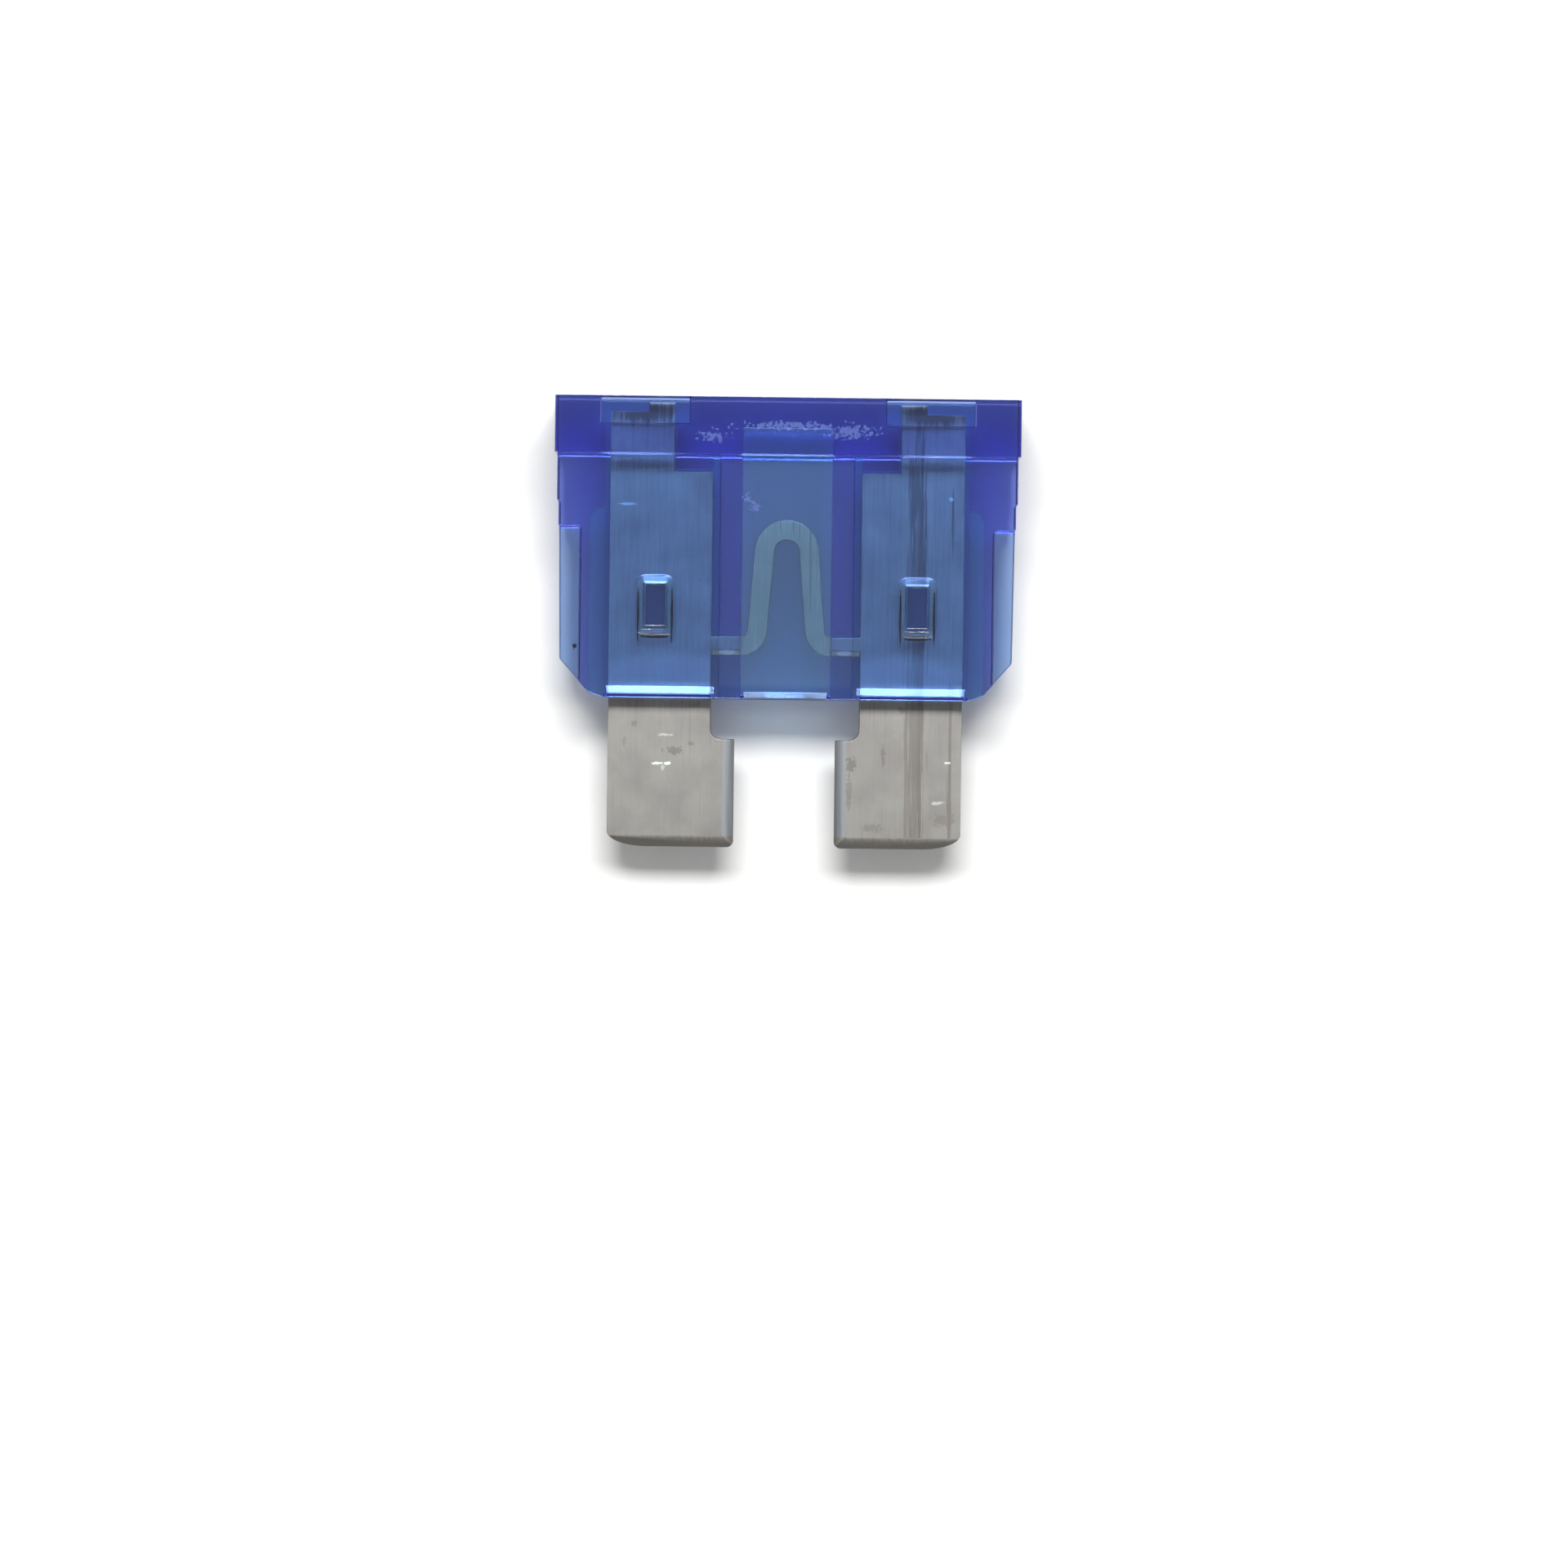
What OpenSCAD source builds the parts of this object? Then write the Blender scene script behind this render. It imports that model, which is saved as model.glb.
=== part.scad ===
// Regular blade fuse for road vehicles: a clear moulded housing over one stamped element.
// It lies on its back. X runs across the fuse, Y along it with the head towards +Y,
// and Z is its thickness, with the back of the head on z = 0.

/* [Blades] */
// Clear gap between the two blades
blade_gap = 4.14; // [3.4:0.02:6]
// Width of one blade
blade_w = 5.2; // [4.3:0.1:7]
// Thickness of the stamped metal
metal_t = 0.65; // [0.5:0.01:0.9]
// Length of the blades that stands out of the housing
blade_l = 6.1; // [4:0.1:9]
// How far the neck's inner edge is set back from the blade's
neck_step = 0.98; // [0.9:0.02:1.6]
// Length of the narrow neck below the housing's mouth
neck_l = 1.65; // [1:0.05:2.5]
// Radius of the fillet where the neck meets the blade
neck_fillet_r = 0.42; // [0.1:0.02:0.8]
// Radius of the blade's inner tip corner
tip_inner_r = 0.28; // [0.1:0.02:0.6]
// Width of the round at the blade's outer tip corner
tip_round_w = 1.6; // [0.4:0.1:2.4]
// Height of the round at the blade's outer tip corner
tip_round_h = 0.62; // [0.2:0.02:1.2]
// Width of the coined bevel along the tip and the inner edge
coin_w = 0.46; // [0.2:0.02:0.8]
// Depth of the coined bevel on each face
coin_t = 0.17; // [0.05:0.01:0.24]

/* [Link] */
// Height of the top of the fusible link above the mouth
link_top = 7.38; // [5.5:0.02:9]
// Width of the link's metal
link_w = 0.82; // [0.5:0.02:0.95]
// Room between the link's bend and each side of the arc chamber
link_side_gap = 0.54; // [0.3:0.02:0.9]
// Outward lean of the link's two arms, in degrees
link_lean = 4.6; // [0:0.2:6]
// Height of the bar that joins each arm to its blade, from the mouth to its lower edge
bar_y = 1.8; // [1:0.05:2.4]
// Width of that bar
bar_w = 0.77; // [0.5:0.01:1]
// Height of the curved foot under each arm
foot_h = 1.05; // [0.6:0.05:1.6]
// Size of the rolled-over corner along the bar's lower edge, on each face
bar_roll = 0.2; // [0.05:0.01:0.24]
// Radius of the fillet between each arm's outer edge and its bar
bar_fillet_r = 0.26; // [0.05:0.01:0.3]

/* [Test tabs] */
// Height of the test tab's root below the underside of the head
tab_root = 0.65; // [0.3:0.05:1.2]
// Width of the test tab
tab_w = 2.64; // [2:0.02:3.6]
// How far the tab's top edge lies below the top of the head
tab_recess = 0.57; // [0.4:0.01:0.9]
// Width of the nib on the tab's inner end
nib_w = 1.07; // [0.6:0.01:1.6]
// How far the nib's end lies below the top of the head
nib_recess = 0.17; // [0.05:0.01:0.35]

/* [Stakes] */
// Height of the stake holes' centre above the mouth
stake_y = 3.8; // [3:0.05:5]
// Distance of each stake hole's centre inside the blade's outer edge
stake_in = 1.9; // [1.3:0.02:2.6]
// Width of the hole in the blade
hole_w = 0.98; // [0.8:0.02:1.6]
// Height of the hole in the blade
hole_h = 1.84; // [1.2:0.02:2.4]
// Gap between the plastic boss and the hole
boss_gap = 0.05; // [0.02:0.01:0.12]
// Gap between the ends of the front and the back boss
boss_split = 0.1; // [0.04:0.02:0.3]
// Margin of the shallow outer recess around the deep one
recess_margin = 0.28; // [0.15:0.01:0.5]
// Depth of the shallow outer recess
recess_depth = 0.3; // [0.1:0.05:0.5]
// Corner radius of the shallow outer recess
recess_r = 0.4; // [0.1:0.05:0.6]
// Plastic left between the deep recess and the blade's slot
stake_floor = 0.75; // [0.2:0.05:0.9]
// Length of the slope at the deep recess's head end
stake_slope = 0.22; // [0.05:0.01:0.26]

/* [Head] */
// Thickness of the head, front to back
head_t = 5.1; // [4.4:0.1:7]
// Height of the head
head_h = 2.33; // [2:0.01:3.2]
// How far the head stands out past the wings, each side
head_over = 0.16; // [0.1:0.02:0.5]
// Radius of the head's upright corners
head_r = 0.12; // [0.05:0.01:0.5]
// Depth of the test ports
port_depth = 1.08; // [0.9:0.02:1.4]
// Width of the test ports, front to back
port_t = 1.7; // [1.2:0.05:2.6]
// Length of the port past the tab's inner edge
port_in = 0.63; // [0.2:0.01:0.9]
// Length of the port past the tab's outer edge
port_out = 0.43; // [0.2:0.01:0.6]

/* [Body] */
// Height of the body from its mouth to the underside of the head
body_h = 9.97; // [8.3:0.01:13]
// Thickness of the body over the blades
body_t = 3.4; // [2.9:0.05:4.2]
// Thickness of the body over the arc chamber
bulge_t = 3.6; // [3.4:0.05:4.4]
// Thickness of the front and back walls of the arc chamber
chamber_wall = 0.65; // [0.4:0.05:0.9]
// Plastic above the arc chamber, up to the top of the head
chamber_roof = 1.2; // [0.8:0.05:1.9]
// Width of the ribs on both sides of the arc chamber
rib_w = 0.88; // [0.6:0.02:1.1]
// Height of the solid shoulders under the head
shoulder_h = 2.97; // [2:0.01:4]
// Height of the shoulder's wider upper part
shoulder_band_h = 1.97; // [1:0.01:1.99]
// How far the shoulder's upper part stands out past the wings, each side
shoulder_over = 0.07; // [0.02:0.01:0.1]
// Width of the thin wings beside the body
wing_w = 0.86; // [0.4:0.02:1.6]
// Thickness of the wings
wing_t = 1.24; // [0.8:0.02:2]
// Draft of the wings towards the mouth, each side
wing_draft = 0.07; // [0:0.01:0.2]
// Height of the chamfer at each wing's foot
chamfer_h = 1.36; // [0.8:0.02:2]
// Rise of the body's foot between the slot and the chamfer
foot_rise = 0.22; // [0.1:0.02:0.5]
// Bevel at the mouth over the chamber and over each blade, on the front and the back
mouth_bevel = 0.28; // [0.1:0.02:0.4]
// Height of the upright lip under the bevel over each blade
mouth_lip = 0.2; // [0.05:0.01:0.4]
// How far each bevel stops short of the sides of its opening
bevel_inset = 0.16; // [0.05:0.01:0.3]
// Lead-in chamfer inside the chamber's mouth and each blade slot's mouth
lead_in = 0.15; // [0.05:0.01:0.2]

/* [Slots] */
// Gap between the blade and its slot, on each face
slot_gap = 0.05; // [0.03:0.01:0.12]
// Gap between the blade's outer edge and its slot
slot_side_gap = 0.23; // [0.1:0.01:0.5]
// Gap between the neck's inner edge and the rib
neck_gap = 0.3; // [0.1:0.01:0.5]
// Gap above the blade's shoulders, the tab's sides and the bars
end_gap = 0.1; // [0.05:0.01:0.2]
// Width of the hollow beside each blade
hollow_w = 0.6; // [0.3:0.02:1]
// Depth of that hollow, front to back
hollow_t = 1.4; // [1.1:0.05:2.2]
// Height of the hollow's top above the underside of the shoulder
hollow_rise = 0.8; // [0.4:0.05:1.2]
// Corner radius at the top of the hollow
hollow_r = 0.5; // [0.2:0.05:0.6]
// Thickness of the body's side walls
side_wall = 0.4; // [0.3:0.02:0.8]

/* [Hidden] */
$fn = 48;
// Overlap that makes joined and cut shapes run past each other
eps = 0.02;
// Steps along a rounded corner of the stamping
arc_steps = 10;

// Places across the fuse, counted outwards from its centre line
blade_in = blade_gap / 2;
blade_out = blade_in + blade_w;
neck_in = blade_in + neck_step;
rib_out = neck_in - neck_gap;
rib_in = rib_out - rib_w;
slot_out = blade_out + slot_side_gap;
hollow_out = slot_out + hollow_w;
body_out = hollow_out + side_wall;
wing_out = body_out + wing_w;
shoulder_out = wing_out + shoulder_over;
head_out = wing_out + head_over;
tab_in = blade_out - tab_w;
stake_x = blade_out - stake_in;

// Places along the fuse, counted from the housing's mouth
top_y = body_h + head_h;
shoulder_y = body_h - shoulder_h;
hollow_y = shoulder_y + hollow_rise;
blade_top = body_h - tab_root;
tab_top = top_y - tab_recess;
nib_top = top_y - nib_recess;
port_floor = top_y - port_depth;
chamber_top = top_y - chamber_roof;

// The link's bend: one centre, an outer and an inner radius
link_r = rib_in - link_side_gap;
link_inner_r = link_r - link_w;
link_centre_y = link_top - link_r;

slot_t = metal_t + 2 * slot_gap;
chamber_t = bulge_t - 2 * chamber_wall;

// Moves the mouth's datum to the part's own origin, under the middle of its box
mid_y = (top_y - blade_l) / 2;
mid_z = head_t / 2;

// Points on an ellipse's quarter or a circle's arc, from one angle to another
function arc(cx, cy, rx, ry, from, to) =
    [for (i = [0 : arc_steps])
        let (a = from + (to - from) * i / arc_steps)
        [cx + rx * cos(a), cy + ry * sin(a)]];

// The point on an arm's edge at a height y, for the edge tangent to a bend of radius r
function arm_x(r, y) =
    r * cos(link_lean) + (link_centre_y + r * sin(link_lean) - y) * tan(link_lean);

// Puts a shape on both sides of the centre line
module both_sides() {
    children();
    mirror([1, 0, 0]) children();
}

// A box centred on the mid-plane in z, from one corner to the other in x and y
module slab(x0, x1, y0, y1, t) {
    translate([x0, y0, -t / 2]) cube([x1 - x0, y1 - y0, t]);
}

// Extrudes an outline to both sides of the mid-plane
module plate(t) {
    translate([0, 0, -t / 2]) linear_extrude(height = t) children();
}

// ---- Fuse element: one stamping with two blades, two test tabs and the link ----

// One blade with its neck and test tab, seen flat
module blade_outline() {
    tip = -blade_l;
    polygon(concat(
        arc(blade_in + tip_inner_r, tip + tip_inner_r, tip_inner_r, tip_inner_r, 180, 270),
        arc(blade_out - tip_round_w, tip + tip_round_h, tip_round_w, tip_round_h, 270, 360),
        [
            [blade_out, tab_top],
            [tab_in + nib_w, tab_top],
            [tab_in + nib_w, nib_top],
            [tab_in, nib_top],
            [tab_in, blade_top],
            [neck_in, blade_top],
        ],
        arc(neck_in - neck_fillet_r, neck_fillet_r - neck_l, neck_fillet_r, neck_fillet_r, 360, 270),
        [[blade_in, -neck_l]]
    ));
}

// Half of the link: from its top, down one arm and out to the blade
module link_half_outline() {
    bar_top = bar_y + bar_w;
    fillet_y = bar_top + bar_fillet_r;
    foot_y = bar_y + foot_h;
    foot_x = arm_x(link_inner_r, foot_y);
    polygon(concat(
        arc(0, link_centre_y, link_r, link_r, 90, link_lean),
        arc(arm_x(link_r, fillet_y) + bar_fillet_r, fillet_y, bar_fillet_r, bar_fillet_r, 180, 270),
        [
            [neck_in + eps, bar_top],
            [neck_in + eps, bar_y],
        ],
        arc(rib_in, foot_y, rib_in - foot_x, foot_h, 270, 180),
        arc(0, link_centre_y, link_inner_r, link_inner_r, link_lean, 90)
    ));
}

// What the coining press takes off one face of one blade: a wedge down its inner edge
module coin_wedge(length) {
    rotate([90, 0, 0]) linear_extrude(height = length) polygon([
        [-eps, metal_t / 2 - coin_t],
        [0, metal_t / 2 - coin_t],
        [coin_w, metal_t / 2],
        [coin_w, metal_t],
        [-eps, metal_t],
    ]);
}

module coined_edges() {
    inner_l = blade_l - neck_l;
    for (face = [0, 1]) mirror([0, 0, face]) {
        translate([blade_in, -neck_l + eps, 0]) coin_wedge(inner_l + 2 * eps);
        translate([blade_in - eps, -blade_l, 0]) rotate([0, 0, 90]) coin_wedge(blade_w + 2 * eps);
    }
}

// What the press rolls off both corners of one bar's lower edge
module rolled_corners() {
    for (face = [0, 1]) mirror([0, 0, face])
        translate([rib_in, bar_y, 0]) rotate([90, 0, 90]) linear_extrude(height = neck_in - rib_in) polygon([
            [-eps, metal_t / 2 - bar_roll - eps],
            [bar_roll + eps, metal_t / 2 + eps],
            [-eps, metal_t / 2 + eps],
        ]);
}

module fuse_element() {
    color("darkgray") translate([0, -mid_y, mid_z]) union() {
        both_sides() {
            difference() {
                plate(metal_t) blade_outline();
                coined_edges();
                translate([stake_x, stake_y, 0]) cube([hole_w, hole_h, metal_t + 1], center = true);
            }
            difference() {
                plate(metal_t) link_half_outline();
                rolled_corners();
            }
        }
    }
}

// ---- Housing: one clear moulding, open at its mouth ----

// The body and wings seen flat, from the centre line out to one side
module silhouette_half() {
    polygon([
        [0, 0],
        [slot_out, 0],
        [hollow_out, foot_rise],
        [wing_out - wing_draft, foot_rise + chamfer_h],
        [wing_out, shoulder_y],
        [wing_out, body_h - shoulder_band_h],
        [shoulder_out, body_h - shoulder_band_h + shoulder_over],
        [shoulder_out, body_h + eps],
        [0, body_h + eps],
    ]);
}

module body_shell() {
    intersection() {
        union() {
            slab(-body_out, body_out, 0, body_h + eps, body_t);
            slab(-rib_out, rib_out, 0, body_h + eps, bulge_t);
            both_sides() {
                slab(body_out - eps, shoulder_out, shoulder_y, body_h + eps, body_t);
                slab(body_out - eps, shoulder_out, 0, body_h, wing_t);
            }
        }
        both_sides() plate(head_t) silhouette_half();
    }
}

module head_block() {
    width = 2 * (head_out - head_r);
    depth = head_t - 2 * head_r;
    translate([0, body_h, 0]) rotate([-90, 0, 0]) linear_extrude(height = head_h) union() {
        square([width, head_t], center = true);
        square([2 * head_out, depth], center = true);
        for (x = [-1, 1], z = [-1, 1])
            translate([x * width / 2, z * depth / 2]) circle(r = head_r);
    }
}

// The slot that one blade, its tab and its end of the link's bar slide into
module blade_slot() {
    slab(rib_out, slot_out, -eps, blade_top + end_gap, slot_t);
    slab(tab_in - end_gap, slot_out, 0, port_floor + eps, slot_t);
    slab(rib_in - eps, rib_out + eps, -eps, bar_y + bar_w + end_gap, slot_t);
    slab(rib_out, neck_in, -eps, body_h, hollow_t);
}

// The hollow beside one blade, with its upper outer corner rounded
module side_hollow() {
    plate(hollow_t) polygon(concat(
        [
            [slot_out - eps, -eps],
            [hollow_out, -eps],
        ],
        arc(hollow_out - hollow_r, hollow_y - hollow_r, hollow_r, hollow_r, 0, 90),
        [[slot_out - eps, hollow_y]]
    ));
}

module test_port() {
    slab(tab_in - port_in, blade_out + port_out, port_floor, top_y + eps, port_t);
}

// What a bevel takes off the front and the back of the mouth, from one place across to another
module bevel_cut(x0, x1, lip, t) {
    for (face = [0, 1]) mirror([0, 0, face])
        translate([x0, 0, 0]) rotate([90, 0, 90]) linear_extrude(height = x1 - x0) polygon([
            [-eps, t / 2 - mouth_bevel],
            [lip, t / 2 - mouth_bevel],
            [lip + mouth_bevel + eps, t / 2 + eps],
            [-eps, t / 2 + eps],
        ]);
}

// The flare of one opening's mouth, from one place across to another
module lead_in_cut(x0, x1, t) {
    translate([x0, 0, 0]) rotate([90, 0, 90]) linear_extrude(height = x1 - x0) polygon([
        [-eps, -t / 2 - lead_in - eps],
        [lead_in, -t / 2],
        [lead_in, t / 2],
        [-eps, t / 2 + lead_in + eps],
    ]);
}

// Both recesses that the staking punch leaves over one hole, on the front
module stake_recess() {
    outer_w = hole_w + 2 * recess_margin;
    outer_h = hole_h + 2 * recess_margin;
    deep_z = slot_t / 2 + stake_floor;
    shallow_z = body_t / 2 - recess_depth;
    top_z = body_t / 2 + eps;
    translate([0, 0, shallow_z]) linear_extrude(height = recess_depth + eps) union() {
        square([outer_w, outer_h - 2 * recess_r], center = true);
        square([outer_w - 2 * recess_r, outer_h], center = true);
        for (x = [-1, 1], y = [-1, 1])
            translate([x * (outer_w / 2 - recess_r), y * (outer_h / 2 - recess_r)]) circle(r = recess_r);
    }
    translate([-hole_w / 2, 0, 0]) rotate([90, 0, 90]) linear_extrude(height = hole_w) polygon([
        [-hole_h / 2, deep_z],
        [hole_h / 2, deep_z],
        [hole_h / 2 + stake_slope, shallow_z],
        [hole_h / 2 + stake_slope, top_z],
        [-hole_h / 2, top_z],
    ]);
}

// The boss that the punch pushes into one hole, from the front
module stake_boss() {
    w = hole_w - 2 * boss_gap;
    h = hole_h - 2 * boss_gap;
    translate([-w / 2, -h / 2, boss_split / 2]) cube([w, h, slot_t / 2 + eps - boss_split / 2]);
}

module at_stakes() {
    both_sides() for (face = [0, 1])
        mirror([0, 0, face]) translate([stake_x, stake_y, 0]) children();
}

module housing() {
    color("royalblue", 0.6) translate([0, -mid_y, mid_z]) union() {
        difference() {
            union() {
                body_shell();
                head_block();
            }
            slab(-rib_in, rib_in, -eps, chamber_top, chamber_t);
            lead_in_cut(-rib_in, rib_in, chamber_t);
            bevel_cut(bevel_inset - rib_in, rib_in - bevel_inset, 0, bulge_t);
            both_sides() {
                lead_in_cut(neck_in, slot_out, slot_t);
                bevel_cut(rib_out + bevel_inset, slot_out - bevel_inset, mouth_lip, body_t);
                blade_slot();
                side_hollow();
                test_port();
            }
            at_stakes() stake_recess();
        }
        at_stakes() stake_boss();
    }
}

housing();
fuse_element();
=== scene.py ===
"""Looks of a regular blade fuse: a clear blue moulded housing over one stamped zinc element.

Everything is in metres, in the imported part's own frame: X runs across the fuse, Y along it
towards the head, and Z is its thickness. The fuse lies on its back on z = 0, and the camera
looks straight down on it with the head at the top.
"""

import logging
import math
from dataclasses import dataclass, field
from enum import Enum

import bmesh
import bpy
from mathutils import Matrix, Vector


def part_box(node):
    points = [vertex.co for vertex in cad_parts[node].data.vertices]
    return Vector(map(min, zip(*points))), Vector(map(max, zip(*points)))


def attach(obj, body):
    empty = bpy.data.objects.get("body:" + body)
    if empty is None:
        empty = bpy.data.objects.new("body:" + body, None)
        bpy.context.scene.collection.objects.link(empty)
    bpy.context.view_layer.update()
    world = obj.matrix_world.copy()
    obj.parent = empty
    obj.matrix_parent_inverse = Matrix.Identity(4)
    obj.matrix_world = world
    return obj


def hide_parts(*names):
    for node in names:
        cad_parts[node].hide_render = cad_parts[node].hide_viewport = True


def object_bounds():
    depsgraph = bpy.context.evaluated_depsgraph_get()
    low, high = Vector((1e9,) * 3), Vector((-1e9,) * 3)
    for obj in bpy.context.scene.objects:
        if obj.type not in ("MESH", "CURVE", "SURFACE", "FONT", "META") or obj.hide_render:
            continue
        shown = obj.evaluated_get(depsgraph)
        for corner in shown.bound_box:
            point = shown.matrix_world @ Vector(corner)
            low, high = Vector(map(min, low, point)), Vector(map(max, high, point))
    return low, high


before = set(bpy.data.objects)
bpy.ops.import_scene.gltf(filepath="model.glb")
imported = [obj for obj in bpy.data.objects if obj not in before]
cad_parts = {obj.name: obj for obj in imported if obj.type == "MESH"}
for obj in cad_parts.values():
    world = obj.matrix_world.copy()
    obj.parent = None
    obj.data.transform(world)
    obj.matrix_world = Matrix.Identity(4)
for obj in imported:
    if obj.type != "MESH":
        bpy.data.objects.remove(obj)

MM = 0.001
BODY = "root"
CAD_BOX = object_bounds()
LOG = logging.getLogger("blade_fuse")

# How far a band runs on, in millimetres, past the end at which it must not fade.
PAST_MM = 1.0
# Where a mark starts and stops fading, as shares of its half width.
MARK_CORE = 0.55
MARK_EDGE = 1.05
# Material numbers that tell a part's flat faces from its rounded edges while it is made.
FLAT = 0
ROUND = 1


class Slot(Enum):
    """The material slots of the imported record."""

    PLASTIC = "clear_blue_plastic"
    METAL = "plated_zinc"


def linear(hex_colour: str, alpha: float = 1.0) -> tuple[float, float, float, float]:
    """Turns an sRGB hex colour into the linear colour that shaders take.

    Args:
        hex_colour: Six hex digits, such as "a8a7a2".
        alpha: The fourth value.

    Returns:
        Red, green, blue and alpha, all linear.
    """
    channels = [int(hex_colour[i : i + 2], 16) / 255 for i in (0, 2, 4)]
    red, green, blue = (
        c / 12.92 if c <= 0.04045 else ((c + 0.055) / 1.055) ** 2.4 for c in channels
    )
    return red, green, blue, alpha


def add_node(
    tree: bpy.types.NodeTree, kind: str, sockets: dict | None = None, **settings: object
) -> bpy.types.Node:
    """Adds one node, sets its properties and fills its inputs.

    Args:
        tree: The node tree that gets the node.
        kind: The node's type name.
        sockets: For each input's name or number, a value or the output that feeds it.
        **settings: Properties of the node itself, such as operation.

    Returns:
        The new node.
    """
    node = tree.nodes.new(kind)
    for name, value in settings.items():
        setattr(node, name, value)
    for name, value in (sockets or {}).items():
        if isinstance(value, bpy.types.NodeSocket):
            tree.links.new(value, node.inputs[name])
        else:
            node.inputs[name].default_value = value
    return node


def new_material(name: str) -> tuple[bpy.types.Material, bpy.types.NodeTree]:
    """Makes an empty node material.

    Args:
        name: The finish's plain name.

    Returns:
        The material and its node tree, with no nodes in it.
    """
    material = bpy.data.materials.new(name)
    material.use_nodes = True
    material.node_tree.nodes.clear()
    return material, material.node_tree


@dataclass(frozen=True)
class Span:
    """A band across one axis that fades out at both sides, in millimetres."""

    low: float
    high: float
    fade: float

    def mask(self, tree: bpy.types.NodeTree, value: bpy.types.NodeSocket) -> bpy.types.NodeSocket:
        """Builds a mask that is 1 inside the band and 0 outside it.

        Args:
            tree: The material's node tree.
            value: The coordinate along the axis, in metres.

        Returns:
            The mask's output.
        """
        half = self.fade / 2
        edges = ((self.low, 1.0), (self.high, 0.0))
        rise, fall = (
            add_node(
                tree,
                "ShaderNodeMapRange",
                {
                    0: value,
                    1: (edge - half) * MM,
                    2: (edge + half) * MM,
                    3: 1.0 - up,
                    4: up,
                },
                interpolation_type="SMOOTHSTEP",
            )
            for edge, up in edges
        )
        both = add_node(
            tree, "ShaderNodeMath", {0: rise.outputs[0], 1: fall.outputs[0]}, operation="MULTIPLY"
        )
        return both.outputs[0]


@dataclass(frozen=True)
class Mark:
    """One soft-edged mark on a flat face.

    Its centre and size are in millimetres. Its strength runs from 0 to 1, and ragged is how far
    noise eats into its outline.
    """

    x: float
    y: float
    width: float
    height: float
    strength: float = 1.0
    ragged: float = 0.5

    def mask(
        self,
        tree: bpy.types.NodeTree,
        place: bpy.types.NodeSocket,
        rag: bpy.types.NodeSocket,
    ) -> bpy.types.NodeSocket:
        """Builds a mask that is the mark's strength at its centre and 0 outside it.

        Args:
            tree: The material's node tree.
            place: The object's coordinates, in metres.
            rag: Noise from 0 to 1 that makes the outline ragged.

        Returns:
            The mask's output.
        """
        size = (2 / (self.width * MM), 2 / (self.height * MM), 0.0)
        centred = add_node(
            tree,
            "ShaderNodeMapping",
            {"Vector": place, "Location": (-self.x * MM, -self.y * MM, 0.0)},
        )
        scaled = add_node(
            tree, "ShaderNodeVectorMath", {0: centred.outputs[0], 1: size}, operation="MULTIPLY"
        )
        reach = add_node(tree, "ShaderNodeVectorMath", {0: scaled.outputs[0]}, operation="LENGTH")
        torn = add_node(
            tree,
            "ShaderNodeMath",
            {0: rag, 1: self.ragged * 2, 2: reach.outputs["Value"]},
            operation="MULTIPLY_ADD",
        )
        fade = add_node(
            tree,
            "ShaderNodeMapRange",
            {
                0: torn.outputs[0],
                1: MARK_CORE + self.ragged,
                2: MARK_EDGE + self.ragged,
                3: self.strength,
                4: 0.0,
            },
            interpolation_type="SMOOTHSTEP",
        )
        return fade.outputs[0]


def any_of(tree: bpy.types.NodeTree, masks: list[bpy.types.NodeSocket]) -> bpy.types.NodeSocket:
    """Joins masks into one that takes the strongest at each point.

    Args:
        tree: The material's node tree.
        masks: The masks' outputs, one or more.

    Returns:
        The joined mask's output.
    """
    joined = masks[0]
    for mask in masks[1:]:
        joined = add_node(tree, "ShaderNodeMath", {0: joined, 1: mask}, operation="MAXIMUM").outputs[0]
    return joined


def tinted(
    tree: bpy.types.NodeTree,
    factor: bpy.types.NodeSocket,
    under: bpy.types.NodeSocket | tuple,
    over: bpy.types.NodeSocket | tuple,
) -> bpy.types.NodeSocket:
    """Lays one colour over another.

    Args:
        tree: The material's node tree.
        factor: How much of the upper colour shows.
        under: The lower colour.
        over: The upper colour.

    Returns:
        The mixed colour's output.
    """
    mix = add_node(tree, "ShaderNodeMix", {"Factor": factor, 6: under, 7: over}, data_type="RGBA")
    return mix.outputs[2]


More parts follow.
